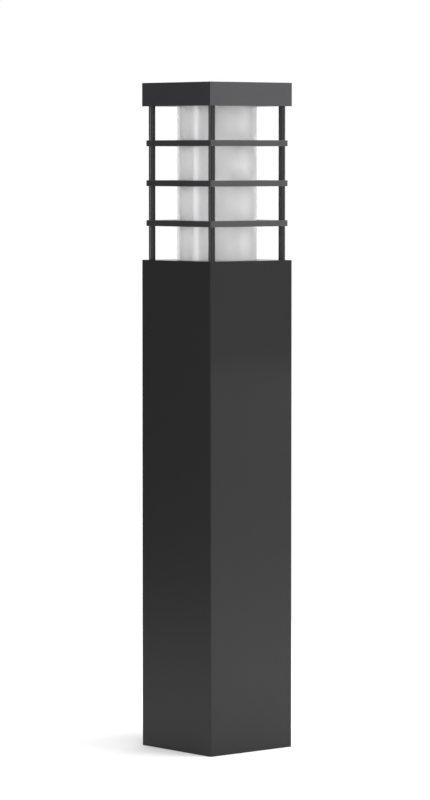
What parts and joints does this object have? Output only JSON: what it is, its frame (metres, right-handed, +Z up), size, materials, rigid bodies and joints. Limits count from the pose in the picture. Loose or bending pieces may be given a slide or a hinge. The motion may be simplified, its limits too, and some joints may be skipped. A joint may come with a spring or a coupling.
{
  "type": "bollard light",
  "caption": "Square post bollard light: opal tube lamp head behind open square rings on corner rods, under a flat lift-off cap.",
  "frame": {"origin": "centre of the post's foot, on the ground", "axes": "+Z up along the post; the post's faces look along X and Y, the fixing screws are on the +Y and -X faces"},
  "size_m": [0.16, 0.16, 1],
  "materials": {
    "charcoal_paint": "satin powder coat",
    "white_paint": "matt white paint",
    "cast_aluminium": "as cast",
    "galvanised_steel": "zinc plated",
    "stainless_steel": "plain",
    "opal_acrylic": "opal, smooth",
    "black_rubber": "matt",
    "black_nylon": "moulded",
    "porcelain": "glazed",
    "brass": "plain",
    "nickelled_brass": "nickel plated",
    "white_plastic": "moulded",
    "black_glass": "glazed",
    "circuit_board": "lacquered",
    "cable_sheath": "matt",
    "brown_core": "smooth",
    "blue_core": "smooth",
    "earth_core": "green with a yellow stripe"
  },
  "bodies": {
    "post": {"post_tube": "charcoal_paint", "ground_flange": "cast_aluminium", "cable_grommet": "black_rubber", "post_screws": "stainless_steel", "head_plate": "charcoal_paint", "carrier_plate": "charcoal_paint", "lower_diffuser_seal": "black_rubber", "upper_diffuser_seal": "black_rubber", "diffuser": "opal_acrylic", "spacer_tubes_1": "charcoal_paint", "spacer_tubes_2": "charcoal_paint", "spacer_tubes_3": "charcoal_paint", "spacer_tubes_4": "charcoal_paint", "lower_ring": "charcoal_paint", "middle_ring": "charcoal_paint", "upper_ring": "charcoal_paint", "tie_rods": "stainless_steel", "rod_washers": "stainless_steel", "rod_nuts": "stainless_steel", "cap_pillars": "stainless_steel", "lampholder_bracket": "galvanised_steel", "bracket_screws": "galvanised_steel", "lampholder_body": "porcelain", "lampholder_screws": "galvanised_steel", "lampholder_shell": "nickelled_brass", "lampholder_contact": "brass", "gear_tray": "galvanised_steel", "tray_screws": "galvanised_steel", "junction_box": "cast_aluminium", "junction_lid": "cast_aluminium", "junction_seal": "black_rubber", "junction_lid_screws": "stainless_steel", "junction_box_screws": "galvanised_steel", "junction_box_nuts": "galvanised_steel", "terminal_block": "white_plastic", "terminal_screws": "galvanised_steel", "flex_gland_bodies": "black_nylon", "flex_gland_nuts": "black_nylon", "flex_gland_seals": "black_rubber", "supply_gland_body": "black_nylon", "supply_gland_nut": "black_nylon", "supply_gland_seal": "black_rubber", "lamp_flex": "cable_sheath", "live_core": "brown_core", "neutral_core": "blue_core", "earth_core": "earth_core"},
    "lamp_foot": {"lamp_contact": "brass", "lamp_insulator": "black_glass"},
    "lamp": {"lamp_screw_shell": "nickelled_brass", "lamp_housing": "white_plastic", "lamp_board": "white_paint", "lamp_driver": "circuit_board", "lamp_globe": "opal_acrylic"},
    "cap": {"cap_shell": "charcoal_paint", "cap_screws": "stainless_steel", "lid_gasket": "black_rubber", "reflector": "white_paint", "cap_stud": "galvanised_steel", "reflector_nut": "galvanised_steel"}
  },
  "joints": [
    {"name": "cap_lift", "type": "slide", "parent": "post", "child": "cap", "axis": [0, 0, 1], "range_m": [0, 0.15]},
    {"name": "lamp_rise", "type": "slide", "parent": "post", "child": "lamp_foot", "axis": [0, 0, 1], "range_m": [0, 0.01815]},
    {"name": "lamp_turn", "type": "hinge", "parent": "lamp_foot", "child": "lamp", "pos_m": [0, 0, 0.772], "axis": [0, 0, 1], "range_deg": [0, 1800]}
  ],
  "couplings": [
    {"joint": "lamp_rise", "follows": "lamp_turn", "m_per_rad": 0.00057757}
  ]
}
